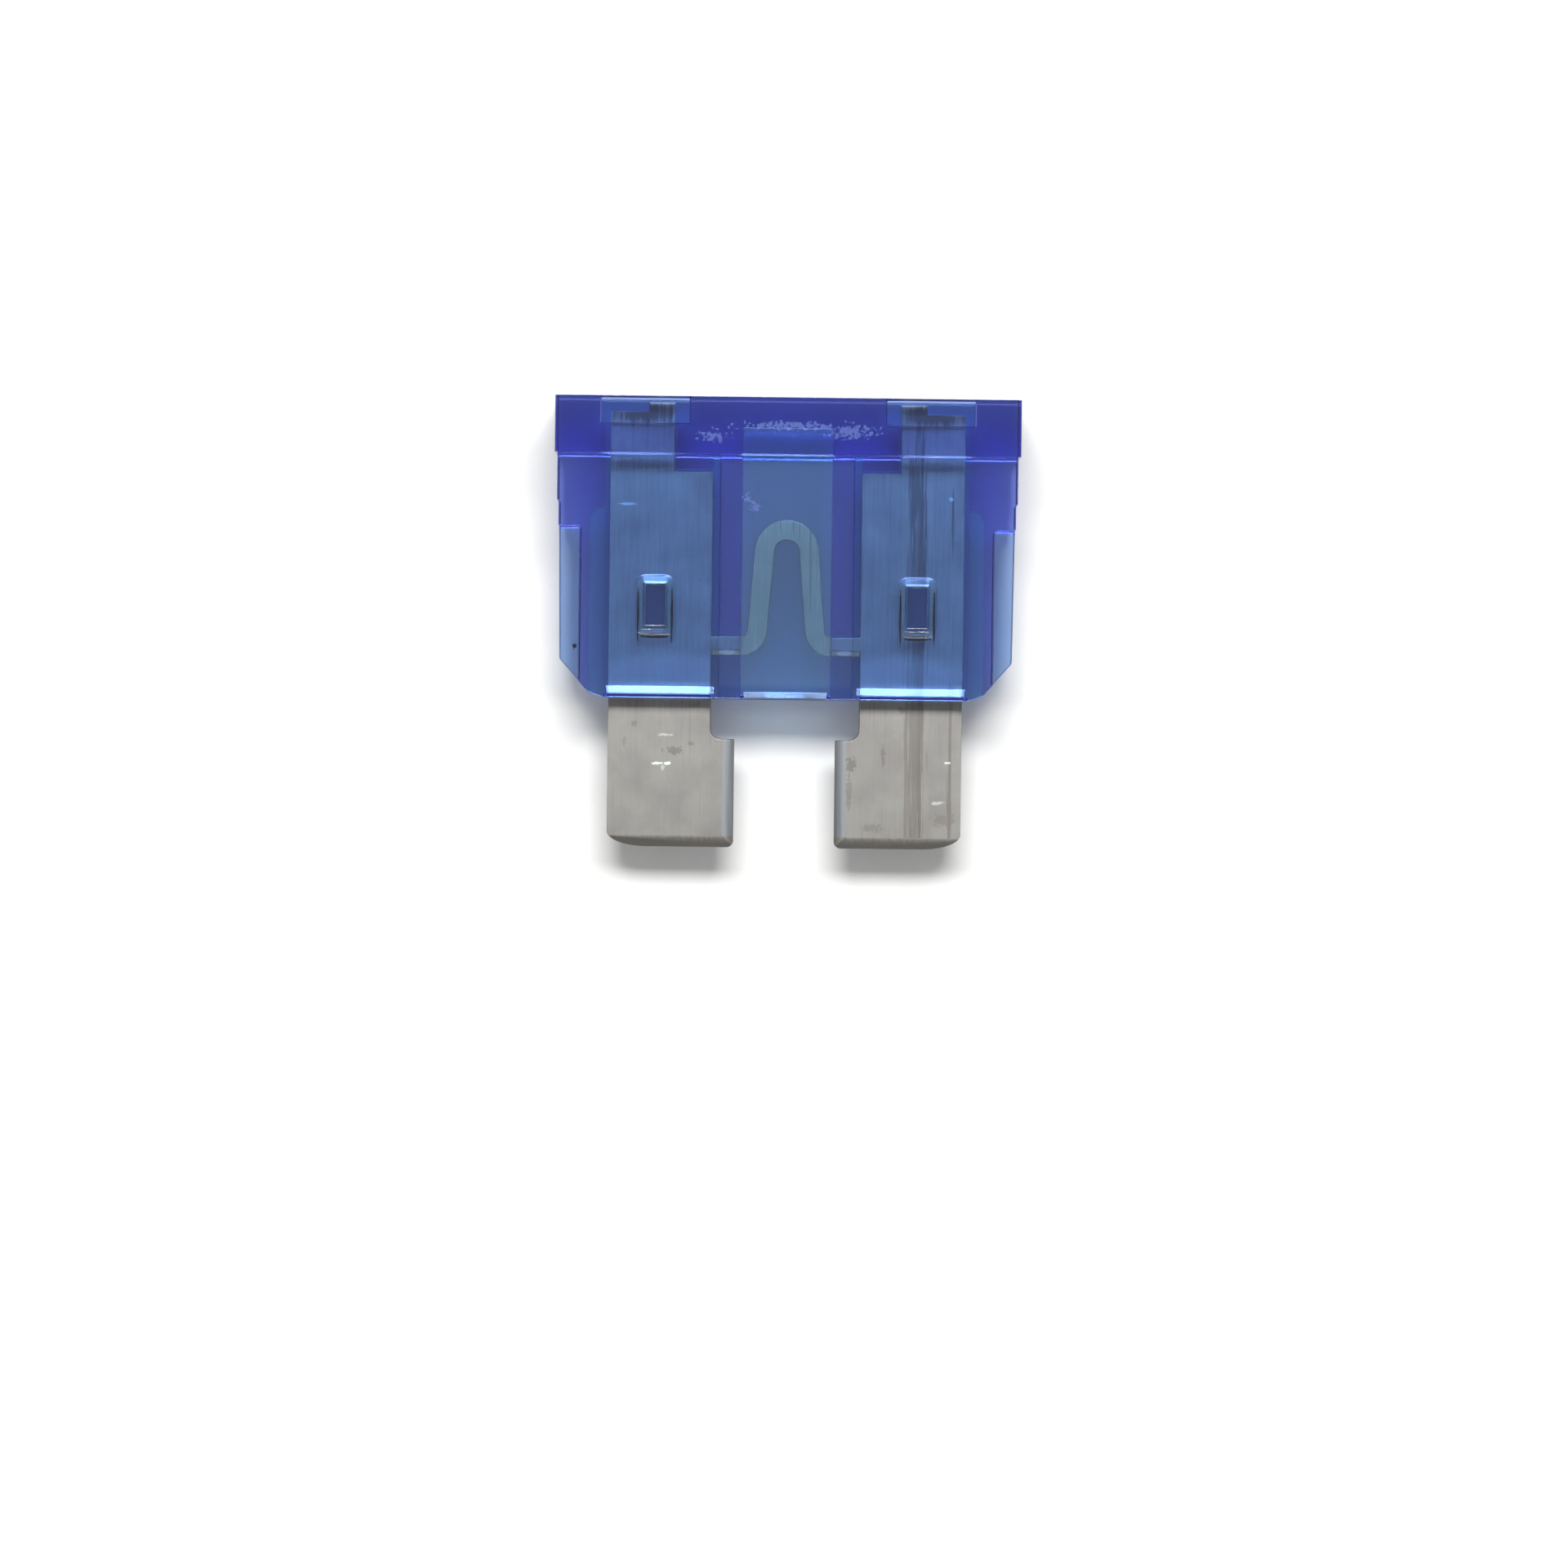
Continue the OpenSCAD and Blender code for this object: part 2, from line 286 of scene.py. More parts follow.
@dataclass(frozen=True)
class ClearBluePolycarbonate:
    """Injection-moulded clear polycarbonate with a blue dye.

    The moulded skin is glossy and lets the metal show through. The dye takes more light with
    every millimetre, so the head, the ribs and the shoulders look dark violet blue and the thin
    wings pale. The front of the head is scuffed pale in a ragged line. A faint matt pale cover
    over the ribs and the chamber is painted light. Around each stake, painted shade darkens the
    creases and a painted glint lies along the lower crease.
    """

    name: str = "clear_blue_polycarbonate"
    surface: str = "bfe9fe"
    dye: str = "b7a4f2"
    dye_density: float = 450.0
    ior: float = 1.586
    roughness: float = 0.05
    # The grit makes the skin up to this many times as rough.
    grit_times: float = 3.0
    # Waves that the melt leaves as it flows are a few millimetres long. They bend reflections.
    flow_mm: float = 2.2
    flow_depth_mm: float = 0.02
    # The skin's grit is a few hundredths of a millimetre, drawn coarser here so that it shows.
    grit_mm: float = 0.12
    grit_depth_mm: float = 0.002
    # Heights over the board above which the scuffs and the flecks lie, and that band's depth.
    front_mm: float = 3.9
    wing_mm: float = 3.1
    front_depth_mm: float = 3.0
    front_fade_mm: float = 0.1
    # The painted light, a faint matt pale cover, reaches this far to each side, over the chamber
    # and over the ribs, and along Y.
    painted_light_haze_mm: tuple[float, float] = (1.8, 2.7)
    painted_light_haze_fade_mm: float = 0.15
    painted_light_haze_run_mm: tuple[float, float] = (-2.6, 6.7)
    painted_light_haze_run_fade_mm: float = 0.4
    painted_light_haze_cover: float = 0.025
    # From this cover on, a mark's own colour replaces the plastic's.
    full_cover: float = 0.04
    pale: str = "8fabee"
    dark: str = "20242c"
    # Pale marks: scuffs three on the head, two beside the chamber's top and one at the left stake,
    # then a painted glint along the lower crease of each stake.
    scuffs_and_painted_glints: tuple[Mark, ...] = (
        Mark(0.2, 8.02, 3.8, 0.3, 0.28, 0.9),
        Mark(2.5, 7.85, 1.7, 0.5, 0.26, 1.0),
        Mark(-3.1, 7.6, 1.0, 0.4, 0.26, 1.0),
        Mark(-1.65, 5.1, 0.3, 0.3, 0.3, 1.0),
        Mark(-1.35, 4.75, 0.5, 0.4, 0.3, 1.0),
        Mark(-5.15, 1.1, 0.28, 0.5, 0.5, 0.8),
        Mark(-5.37, -0.4, 0.85, 0.1, 0.25, 0.3),
        Mark(5.37, -0.4, 0.85, 0.1, 0.25, 0.3),
    )
    # One dark fleck in the left wing, then painted shade in the creases below and beside each stake.
    flecks_and_painted_shade: tuple[Mark, ...] = (
        Mark(-8.68, -1.03, 0.2, 0.2, 0.9, 0.4),
        Mark(-5.37, -0.58, 1.2, 0.16, 0.5, 0.1),
        Mark(5.37, -0.58, 1.2, 0.16, 0.5, 0.1),
        Mark(-6.06, 0.3, 0.1, 2.4, 0.18, 0.1),
        Mark(-4.68, 0.3, 0.1, 2.4, 0.18, 0.1),
        Mark(6.06, 0.3, 0.1, 2.4, 0.18, 0.1),
        Mark(4.68, 0.3, 0.1, 2.4, 0.18, 0.1),
    )

    def painted_light_haze(self, tree: bpy.types.NodeTree, axes: bpy.types.Node) -> bpy.types.NodeSocket:
        """Builds the cover of painted light, a faint matt pale haze over the ribs and, twice as strong,
        the chamber.

        Args:
            tree: The material's node tree.
            axes: The node that gives the object's coordinates one by one.

        Returns:
            The cover's output.
        """
        side = add_node(tree, "ShaderNodeMath", {0: axes.outputs[0]}, operation="ABSOLUTE")
        near, wide = (
            Span(-PAST_MM, reach, self.painted_light_haze_fade_mm).mask(tree, side.outputs[0])
            for reach in self.painted_light_haze_mm
        )
        cover = add_node(tree, "ShaderNodeMath", {0: near, 1: wide}, operation="ADD").outputs[0]
        along = Span(*self.painted_light_haze_run_mm, self.painted_light_haze_run_fade_mm).mask(tree, axes.outputs[1])
        front = self.above(self.front_mm).mask(tree, axes.outputs[2])
        for share in (self.painted_light_haze_cover, along, front):
            cover = add_node(
                tree, "ShaderNodeMath", {0: cover, 1: share}, operation="MULTIPLY"
            ).outputs[0]
        return cover

    def above(self, low: float) -> Span:
        """Gives the band of heights over the board from low up, in millimetres."""
        return Span(low, low + self.front_depth_mm, self.front_fade_mm)

    def solid(self, tree: bpy.types.NodeTree, cover: bpy.types.NodeSocket) -> bpy.types.NodeSocket:
        """Turns a cover into how far its own colour replaces the plastic's.

        Args:
            tree: The material's node tree.
            cover: How much of the surface the mark covers.

        Returns:
            The factor's output, full from a thin cover on.
        """
        return add_node(
            tree, "ShaderNodeMapRange", {0: cover, 1: 0.0, 2: self.full_cover}
        ).outputs[0]

    def material(self) -> bpy.types.Material:
        """Builds the plastic: a smooth dielectric skin over a dye that absorbs by depth.

        Returns:
            The material.
        """
        material, tree = new_material(self.name)
        place = add_node(tree, "ShaderNodeTexCoord").outputs["Object"]
        flow, grit = (
            add_node(
                tree,
                "ShaderNodeTexNoise",
                {"Vector": place, "Scale": 1 / (size * MM), "Detail": detail},
            )
            for size, detail in ((self.flow_mm, 2.0), (self.grit_mm, 4.0))
        )
        rough = add_node(
            tree,
            "ShaderNodeMapRange",
            {
                0: grit.outputs[0],
                1: 0.4,
                2: 0.75,
                3: self.roughness,
                4: self.roughness * self.grit_times,
            },
        )
        wave = add_node(
            tree,
            "ShaderNodeBump",
            {"Height": flow.outputs[0], "Strength": 0.6, "Distance": self.flow_depth_mm * MM},
        )
        fine = add_node(
            tree,
            "ShaderNodeBump",
            {
                "Height": grit.outputs[0],
                "Strength": 0.3,
                "Distance": self.grit_depth_mm * MM,
                "Normal": wave.outputs[0],
            },
        )
        axes = add_node(tree, "ShaderNodeSeparateXYZ", {0: place})
        rag = add_node(tree, "ShaderNodeMapRange", {0: grit.outputs[0], 1: 0.35, 2: 0.65}).outputs[0]
        colour = linear(self.surface)
        # Painted light: a faint matt pale cover lightens the ribs and the chamber.
        covers = [self.painted_light_haze(tree, axes)]
        # Pale scuffs and painted glints, then a dark fleck and painted shade, each on its band of
        # heights.
        for marks, shade, low in (
            (self.scuffs_and_painted_glints, self.pale, self.front_mm),
            (self.flecks_and_painted_shade, self.dark, self.wing_mm),
        ):
            front = self.above(low).mask(tree, axes.outputs[2])
            shape = any_of(tree, [mark.mask(tree, place, rag) for mark in marks])
            cover = add_node(tree, "ShaderNodeMath", {0: shape, 1: front}, operation="MULTIPLY")
            colour = tinted(tree, self.solid(tree, cover.outputs[0]), colour, linear(shade))
            covers.append(cover.outputs[0])
        clear = add_node(
            tree, "ShaderNodeMath", {0: 1.0, 1: any_of(tree, covers)}, operation="SUBTRACT"
        )
        skin = add_node(
            tree,
            "ShaderNodeBsdfPrincipled",
            {
                "Base Color": colour,
                "Roughness": rough.outputs[0],
                "IOR": self.ior,
                "Transmission Weight": clear.outputs[0],
                "Normal": fine.outputs[0],
            },
        )
        depth = add_node(
            tree, "ShaderNodeVolumeAbsorption", {"Color": linear(self.dye), "Density": self.dye_density}
        )
        add_node(
            tree,
            "ShaderNodeOutputMaterial",
            {"Surface": skin.outputs[0], "Volume": depth.outputs[0]},
        )
        return material


@dataclass(frozen=True)
class RolledZincStrip:
    """Rolled and tin-plated zinc strip: satin grey, with fine streaks along the rolling direction.

    The coined bevels at the tips are darker and browner, partly the cut edge's own colour and
    partly painted reflection, and those on the inner edges are cooler, a painted reflection.
    Handling has left smudges, short nicks and one long rubbed stripe on the bare blades, which
    are drawn darker than the metal under the plastic. Under the plastic, painted shade darkens
    the tabs' tops in their ports and a band under the head's overhang, and partly dulls the link;
    painted glints lie on the bars and painted light brightens a strip across each blade near
    the mouth.
    """

    blade_in_mm: float
    tip_mm: float
    neck_mm: float
    coin_mm: float
    name: str = "rolled_tinned_zinc"
    metal: str = "b8bab0"
    dull: str = "a3a19a"
    # The bare blades, below the mouth, are multiplied by this tone, so that they are darker than the
    # metal under the plastic.
    bare_tone: str = "c7c5ca"
    mouth_y_mm: float = -3.1
    # The tip bevels' darker, browner tone: partly the cut edge's own colour, partly painted reflection.
    tip: str = "827f7a"
    # The inner bevels' cooler tone is painted reflection.
    inner: str = "868a8e"
    # Colour of the smudges, the rubs and the specks, and of the painted shade under the head and in the
    # ports.
    smudge_and_shade: str = "67625f"
    bright: str = "f4fbf8"
    # Rolling streaks are a few hundredths of a millimetre apart, drawn coarser so that they show.
    streak_mm: float = 0.11
    streak_run_mm: float = 3.2
    streak_depth_mm: float = 0.006
    # The plating clouds over a millimetre or two, and has specks that are drawn coarser too.
    cloud_mm: float = 1.6
    speck_mm: float = 0.13
    roughness: float = 0.42
    # How far the masks of the bevels and of the bare metal fade, in millimetres.
    tip_fade_mm: float = 0.08
    inner_fade_mm: float = 0.05
    bare_fade_mm: float = 0.02
    # Stains of the left blade, then of the right one.
    smudges: tuple[Mark, ...] = (
        Mark(-4.55, -5.25, 0.9, 0.32, 0.55, 0.9),
        Mark(-3.85, -4.95, 0.35, 0.16, 0.5, 0.6),
        Mark(-2.75, -4.2, 0.5, 0.9, 0.4, 0.7),
        Mark(-3.7, -3.35, 0.7, 0.25, 0.4, 0.8),
        Mark(-6.2, -4.15, 0.22, 0.3, 0.45, 0.5),
        Mark(-6.6, -4.9, 0.18, 0.6, 0.35, 0.6),
        Mark(2.75, -5.75, 0.5, 0.75, 0.6, 0.7),
        Mark(2.65, -6.9, 0.3, 1.6, 0.4, 0.7),
        Mark(4.05, -5.4, 0.22, 1.0, 0.5, 0.8),
        Mark(5.05, -3.5, 0.9, 0.35, 0.5, 0.7),
        Mark(3.55, -8.35, 0.9, 0.4, 0.35, 0.8),
        Mark(6.5, -8.0, 1.0, 0.5, 0.35, 0.9),
    )
    # The right blade's long stripe and edges, the link's dulling (partly painted shade) and stripes,
    # then painted shade: the shadow band under the head's overhang and the tabs' tops in their ports.
    rubs_and_painted_shade: tuple[Mark, ...] = (
        Mark(5.38, -1.0, 0.85, 24.0, 0.6, 0.4),
        Mark(5.55, -1.0, 0.4, 20.0, 0.75, 0.5),
        Mark(5.3, 5.2, 0.8, 4.6, 0.7, 0.5),
        Mark(5.02, -5.0, 0.26, 16.0, 0.45, 0.7),
        Mark(6.8, -6.0, 0.2, 7.4, 0.6, 0.4),
        Mark(6.8, 4.2, 0.12, 3.4, 0.7, 0.3),
        # The link's dulling, partly painted shade.
        Mark(0.0, 1.0, 4.6, 8.0, 0.35, 0.1),
        Mark(0.99, 2.6, 0.12, 4.4, 0.75, 0.4),
        Mark(1.24, 2.4, 0.1, 3.4, 0.55, 0.4),
        Mark(-1.14, 2.7, 0.09, 3.4, 0.5, 0.4),
        Mark(-0.28, 4.0, 0.07, 0.9, 0.7, 0.3),
        Mark(0.26, 3.95, 0.09, 0.9, 0.8, 0.3),
        Mark(0.52, 3.85, 0.07, 1.0, 0.7, 0.3),
        # Painted shadow of the head's overhang.
        Mark(-5.95, 6.5, 3.0, 0.5, 0.4, 0.2),
        Mark(5.95, 6.5, 3.0, 0.5, 0.4, 0.2),
        # Painted shade on the tabs' tops in their ports.
        Mark(-5.95, 8.6, 2.9, 1.0, 0.88, 0.3),
        Mark(5.95, 8.6, 2.9, 1.0, 0.88, 0.3),
    )
    # Bright nicks, and among them painted highlights on the bars' lower edges and a strip of painted
    # light across each blade near the mouth.
    nicks_and_painted_light: tuple[Mark, ...] = (
        Mark(-5.22, -5.78, 0.5, 0.15, 0.5, 0.4),
        Mark(-4.8, -5.78, 0.34, 0.16, 0.7, 0.4),
        Mark(-5.0, -5.95, 0.18, 0.28, 0.2, 0.5),
        # Painted highlights on the bars' lower edges.
        Mark(-2.4, -1.18, 0.8, 0.26, 0.8, 0.2),
        Mark(2.4, -1.18, 0.8, 0.26, 0.8, 0.2),
        # Painted light: a lighter strip across each blade near the mouth.
        Mark(-4.7, -2.15, 7.0, 2.2, 0.24, 0.1),
        Mark(4.7, -2.15, 7.0, 2.2, 0.24, 0.1),
        Mark(-4.95, -4.6, 0.72, 0.13, 0.22, 0.5),
        Mark(6.72, -5.62, 0.3, 0.12, 0.45, 0.5),
        Mark(6.3, -7.28, 0.6, 0.18, 0.25, 0.5),
        Mark(-6.55, 4.85, 0.85, 0.12, 0.9, 0.5),
        Mark(6.72, 5.2, 0.2, 0.2, 0.8, 0.5),
    )

    def bevel_masks(
        self, tree: bpy.types.NodeTree, place: bpy.types.NodeSocket
    ) -> tuple[bpy.types.NodeSocket, bpy.types.NodeSocket]:
        """Builds the masks of the coined bevels, by their places on the blades.

        Args:
            tree: The material's node tree.
            place: The object's coordinates, in metres.

        Returns:
            The tip bevels' mask and the inner bevels' mask.
        """
        axes = add_node(tree, "ShaderNodeSeparateXYZ", {0: place})
        side = add_node(tree, "ShaderNodeMath", {0: axes.outputs[0]}, operation="ABSOLUTE")
        start = self.tip_mm - PAST_MM
        tip = Span(start, self.tip_mm + self.coin_mm, self.tip_fade_mm).mask(tree, axes.outputs[1])
        across = Span(0.0, self.blade_in_mm + self.coin_mm, self.inner_fade_mm).mask(
            tree, side.outputs[0]
        )
        below = Span(start, self.neck_mm, self.inner_fade_mm).mask(tree, axes.outputs[1])
        inner = add_node(tree, "ShaderNodeMath", {0: across, 1: below}, operation="MULTIPLY")
        return tip, inner.outputs[0]

    def material(self) -> bpy.types.Material:
        """Builds the metal with its rolling streaks and its marks.

        Returns:
            The material.
        """
        material, tree = new_material(self.name)
        place = add_node(tree, "ShaderNodeTexCoord").outputs["Object"]
        across = 1 / (self.streak_mm * MM)
        along = 1 / (self.streak_run_mm * MM)
        drawn = add_node(
            tree, "ShaderNodeMapping", {"Vector": place, "Scale": (across, along, across)}
        )
        streaks = add_node(
            tree,
            "ShaderNodeTexNoise",
            {"Vector": drawn.outputs[0], "Scale": 1.0, "Detail": 5.0, "Roughness": 0.65},
        ).outputs[0]
        clouds, specks = (
            add_node(
                tree,
                "ShaderNodeTexNoise",
                {"Vector": place, "Scale": 1 / (size * MM), "Detail": detail},
            ).outputs[0]
            for size, detail in ((self.cloud_mm, 6.0), (self.speck_mm, 3.0))
        )
        tone = add_node(
            tree, "ShaderNodeMath", {0: streaks, 1: 0.75, 2: clouds}, operation="MULTIPLY_ADD"
        )
        share = add_node(tree, "ShaderNodeMapRange", {0: tone.outputs[0], 1: 0.62, 2: 1.12})
        colour = tinted(tree, share.outputs[0], linear(self.dull), linear(self.metal))
        axes = add_node(tree, "ShaderNodeSeparateXYZ", {0: place})
        bare = Span(self.tip_mm - PAST_MM, self.mouth_y_mm, self.bare_fade_mm).mask(
            tree, axes.outputs[1]
        )
        # The bare blades are drawn darker than the metal under the plastic.
        bare_darkened = add_node(
            tree,
            "ShaderNodeMix",
            {"Factor": 1.0, 6: colour, 7: linear(self.bare_tone)},
            data_type="RGBA",
            blend_type="MULTIPLY",
        )
        colour = tinted(tree, bare, colour, bare_darkened.outputs[2])
        grain = add_node(tree, "ShaderNodeMapRange", {0: streaks, 1: 0.35, 2: 0.65}).outputs[0]
        rag = add_node(
            tree, "ShaderNodeMath", {0: streaks, 1: 0.6, 2: specks}, operation="MULTIPLY_ADD"
        )
        torn = add_node(tree, "ShaderNodeMapRange", {0: rag.outputs[0], 1: 0.5, 2: 1.1}).outputs[0]
        stains = [mark.mask(tree, place, torn) for mark in self.smudges]
        dark = any_of(tree, stains + [mark.mask(tree, place, grain) for mark in self.rubs_and_painted_shade])
        dots = add_node(tree, "ShaderNodeMapRange", {0: specks, 1: 0.7, 2: 0.76, 3: 0.0, 4: 0.45})
        # Smudges, rubs and specks darken the metal; some of the rubs are painted shade.
        colour = tinted(tree, any_of(tree, [dark, dots.outputs[0]]), colour, linear(self.smudge_and_shade))
        tip, inner = self.bevel_masks(tree, place)
        # Painted reflection on the inner bevels, then the tip bevels' partly painted darker tone.
        colour = tinted(tree, inner, colour, linear(self.inner))
        colour = tinted(tree, tip, colour, linear(self.tip))
        # Bright nicks, painted highlights and painted light near the mouth.
        light = any_of(tree, [mark.mask(tree, place, torn) for mark in self.nicks_and_painted_light])
        colour = tinted(tree, light, colour, linear(self.bright))
        rough = add_node(
            tree,
            "ShaderNodeMapRange",
            {0: streaks, 1: 0.3, 2: 0.7, 3: self.roughness + 0.08, 4: self.roughness - 0.06},
        )
        bump = add_node(
            tree,
            "ShaderNodeBump",
            {"Height": streaks, "Strength": 0.5, "Distance": self.streak_depth_mm * MM},
        )
        skin = add_node(
            tree,
            "ShaderNodeBsdfPrincipled",
            {
                "Base Color": colour,
                "Metallic": 1.0,
                "Roughness": rough.outputs[0],
                "Normal": bump.outputs[0],
            },
        )
        add_node(tree, "ShaderNodeOutputMaterial", {"Surface": skin.outputs[0]})
        return material


@dataclass(frozen=True)
class PaleBoard:
    """Matt pale board that the fuse lies on, faintly clouded by fibres about a millimetre long."""

    name: str = "matt_pale_board"
    light: str = "f7f7f5"
    shade: str = "f1f1ef"
    fibre_mm: float = 1.2

    def material(self) -> bpy.types.Material:
        """Builds the board with a faint fibre pattern.

        Returns:
            The material.
        """
        material, tree = new_material(self.name)
        place = add_node(tree, "ShaderNodeTexCoord").outputs["Object"]
        fibre = add_node(
            tree,
            "ShaderNodeTexNoise",
            {"Vector": place, "Scale": 1 / (self.fibre_mm * MM), "Detail": 3.0},
        )
        colour = add_node(
            tree,
            "ShaderNodeMix",
            {"Factor": fibre.outputs[0], 6: linear(self.shade), 7: linear(self.light)},
            data_type="RGBA",
        )
        skin = add_node(
            tree, "ShaderNodeBsdfPrincipled", {"Base Color": colour.outputs[2], "Roughness": 0.9}
        )
        add_node(tree, "ShaderNodeOutputMaterial", {"Surface": skin.outputs[0]})
        return material


@dataclass
class RoundedPart:
    """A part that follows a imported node's shape, with its edges rounded as the tool leaves them."""

    node: str
    name: str
    slot: Slot
    edge_mm: float
    segments: int = 2
    # An edge is sharp, and gets rounded, from this angle on.
    sharp_deg: float = 24.0
    # The share of a face's width or an edge's length that one rounding may take.
    room: float = 0.4
    merge_mm: float = 0.0005
    # Faces closer than this are one flat, and edges that turn more than corner_deg are two runs.
    flat_deg: float = 0.5
    corner_deg: float = 26.0
    # A rounded face takes its shading from the flats that lie within this angle of it.
    round_deg: float = 50.0
    # The core's box, half its width and half its depth, in which edges stay sharp.
    crisp_mm: tuple[float, float] = (0.0, 0.0)
    # Where the staking punches press in: from and to on each side, then from and to along Y.
    punched_mm: tuple[float, float, float, float] = (0.0, 0.0, 0.0, 0.0)
    # How wide the roundings outside the punched places are, as a share of edge_mm.
    fine_share: float = 1.0

    def is_punched(self, edge: bmesh.types.BMEdge) -> bool:
        """Tells whether an edge lies in the places that the staking punch pressed in.

        Args:
            edge: The edge.

        Returns:
            Whether both its ends lie inside.
        """
        inner, outer, low, high = (limit * MM for limit in self.punched_mm)
        return all(inner < abs(vert.co.x) < outer and low < vert.co.y < high for vert in edge.verts)

    def is_crisp(self, edge: bmesh.types.BMEdge) -> bool:
        """Tells whether an edge lies inside the box that the steel core cuts crisply.

        Args:
            edge: The edge.

        Returns:
            Whether both its ends lie inside.
        """
        (_, _, low), (_, _, high) = CAD_BOX
        middle = (low + high) / 2
        side, depth = (limit * MM for limit in self.crisp_mm)
        return all(abs(vert.co.x) < side and abs(vert.co.z - middle) < depth for vert in edge.verts)

    def merged_copy(self) -> bmesh.types.BMesh:
        """Copies the node's mesh, joins its loose triangles and clears flat edges.

        Returns:
            The new mesh, closed and with its flat faces whole.
        """
        mesh = bmesh.new()
        mesh.from_mesh(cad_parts[self.node].data)
        bmesh.ops.remove_doubles(mesh, verts=mesh.verts, dist=self.merge_mm * MM)
        bmesh.ops.dissolve_limit(
            mesh, angle_limit=math.radians(self.flat_deg), verts=mesh.verts, edges=mesh.edges
        )
        bmesh.ops.connect_verts_concave(mesh, faces=mesh.faces)
        mesh.faces.index_update()
        return mesh

    def flat_rims(self, mesh: bmesh.types.BMesh) -> dict[int, list[bmesh.types.BMEdge]]:
        """Finds each flat region of the mesh and the edges around it.

        Args:
            mesh: The merged mesh.

        Returns:
            For each face's index, the rim of the flat region that it belongs to.
        """
        rims: dict[int, list[bmesh.types.BMEdge]] = {}
        for start in mesh.faces:
            if start.index in rims:
                continue
            rim: list[bmesh.types.BMEdge] = []
            rims[start.index] = rim
            waiting = [start]
            while waiting:
                face = waiting.pop()
                for edge in face.edges:
                    if edge.calc_face_angle(0.0) > math.radians(self.flat_deg):
                        rim.append(edge)
                        continue
                    for other in edge.link_faces:
                        if other.index not in rims:
                            rims[other.index] = rim
                            waiting.append(other)
        return rims

    def strip_width(self, loop: bmesh.types.BMLoop, rim: list[bmesh.types.BMEdge]) -> float:
        """Measures how wide a flat region is, straight in from the middle of one edge.

        Args:
            loop: The edge's corner in the region.
            rim: The region's rim.

        Returns:
            The distance to the rim's far side, in metres.
        """
        start, end = loop.vert.co, loop.link_loop_next.vert.co
        middle = (start + end) / 2
        along = (end - start).normalized()
        inward = loop.face.normal.cross(along)
        width = math.inf
        for edge in rim:
            if edge is loop.edge:
                continue
            ends = [(vert.co - middle).dot(along) for vert in edge.verts]
            if ends[0] * ends[1] > 0 or ends[0] == ends[1]:
                continue
            share = ends[0] / (ends[0] - ends[1])
            far = (edge.verts[0].co.lerp(edge.verts[1].co, share) - middle).dot(inward)
            if far > self.merge_mm * MM:
                width = min(width, far)
        return width

    @staticmethod
    def turn(edge: bmesh.types.BMEdge, other: bmesh.types.BMEdge) -> float:
        """Measures the angle between the lines of two edges.

        Args:
            edge: The first edge.
            other: The second edge.

        Returns:
            The angle in degrees, from 0 to 90.
        """
        along, across = (e.verts[1].co - e.verts[0].co for e in (edge, other))
        angle = math.degrees(along.angle(across, 0.0))
        return min(angle, 180.0 - angle)

    def edge_width(
        self, edge: bmesh.types.BMEdge, rims: dict[int, list[bmesh.types.BMEdge]]
    ) -> float:
        """Works out how wide one edge can be rounded in the room that it has.

        Args:
            edge: The edge.
            rims: Each face's flat region's rim.

        Returns:
            The width as a share of the full width, from 0 to 1.
        """
        if edge.calc_face_angle(0.0) < math.radians(self.sharp_deg) or self.is_crisp(edge):
            return 0.0
        limit = self.edge_mm * MM * (1.0 if self.is_punched(edge) else self.fine_share)
        for vert in edge.verts:
            for other in vert.link_edges:
                if other is edge or other.calc_length() == 0:
                    continue
                turn = self.turn(edge, other)
                if turn > self.corner_deg:
                    limit = min(limit, self.room * other.calc_length())
                elif turn > self.flat_deg:
                    limit = min(limit, self.room * edge.calc_length() / math.radians(turn))
        for loop in edge.link_loops:
            limit = min(limit, self.room * self.strip_width(loop, rims[loop.face.index]))
        return limit / (self.edge_mm * MM)

    def even_widths(self, mesh: bmesh.types.BMesh) -> dict[bmesh.types.BMEdge, float]:
        """Gives every run of edges that bends gently the width of its tightest edge.

        Args:
            mesh: The merged mesh.

        Returns:
            For each sharp edge, its width as a share of the full width.
        """
        rims = self.flat_rims(mesh)
        sharp = {edge: width for edge in mesh.edges if (width := self.edge_width(edge, rims)) > 0}
        even: dict[bmesh.types.BMEdge, float] = {}
        for start in sharp:
            if start in even:
                continue
            run = [start]
            waiting = [start]
            even[start] = 0.0
            while waiting:
                edge = waiting.pop()
                for vert in edge.verts:
                    for other in vert.link_edges:
                        if other not in sharp or other in even:
                            continue
                        if self.turn(edge, other) < self.corner_deg:
                            even[other] = 0.0
                            run.append(other)
                            waiting.append(other)
            narrowest = min(sharp[edge] for edge in run)
            even.update({edge: narrowest for edge in run})
        return even

    def loop_normal(self, loop: bmesh.types.BMLoop, areas: dict[int, float]) -> Vector:
        """Works out the shading normal at one corner of a face.

        Args:
            loop: The face's corner.
            areas: For each flat face's index, the area of its whole flat region.

        Returns:
            The unit normal, led by the widest flat that the corner touches.
        """
        face = loop.face
        flats = [other for other in loop.vert.link_faces if other.material_index == FLAT]
        reach = math.radians(self.sharp_deg if face.material_index == FLAT else self.round_deg)
        near = [flat for flat in flats if flat.normal.angle(face.normal, 0.0) < reach]
        if near:
            total = sum((flat.normal * areas[flat.index] for flat in near), Vector())
        elif flats:
            total = face.normal
        else:
            total = sum((other.normal for other in loop.vert.link_faces), Vector())
        return total.normalized()

